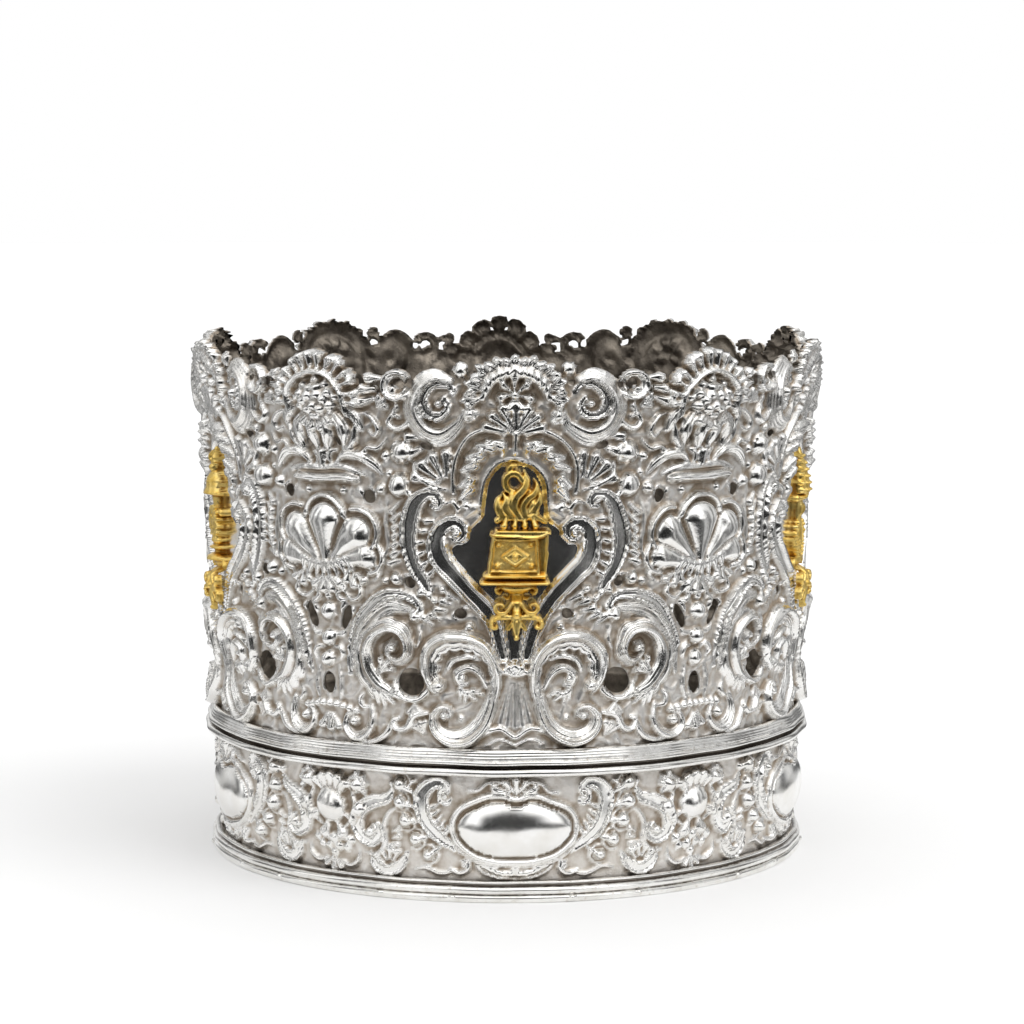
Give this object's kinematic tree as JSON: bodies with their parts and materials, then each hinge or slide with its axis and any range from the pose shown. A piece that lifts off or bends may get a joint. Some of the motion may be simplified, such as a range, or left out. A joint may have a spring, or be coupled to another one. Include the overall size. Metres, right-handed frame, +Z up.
{
  "type": "torah crown",
  "caption": "Open cylindrical crown of chased and pierced silver with gilt emblems, scrolls, shells and flowers, that slips over the two staves of a scroll.",
  "frame": {"origin": "centre of the open foot, in the plane that the crown stands on", "axes": "+Z up the crown's axis; -Y towards the altar emblem, +X towards the viewer's right when facing it"},
  "size_m": [0.2008, 0.2044, 0.1658],
  "materials": {
    "silver_chased": "chased silver, polished high points over matted and toned recesses",
    "silver_moulding": "polished cast silver, threaded and lightly worn",
    "gilt": "bright gilding over cast and chased silver"
  },
  "bodies": {
    "root": {"foot_moulding": "silver_moulding", "lower_band": "silver_chased", "joint_moulding": "silver_moulding", "upper_band": "silver_chased", "emblem_altar": "gilt", "emblem_mitre": "gilt", "emblem_tablets": "gilt", "emblem_lamp": "gilt", "emblem_censer": "gilt"}
  },
  "joints": []
}
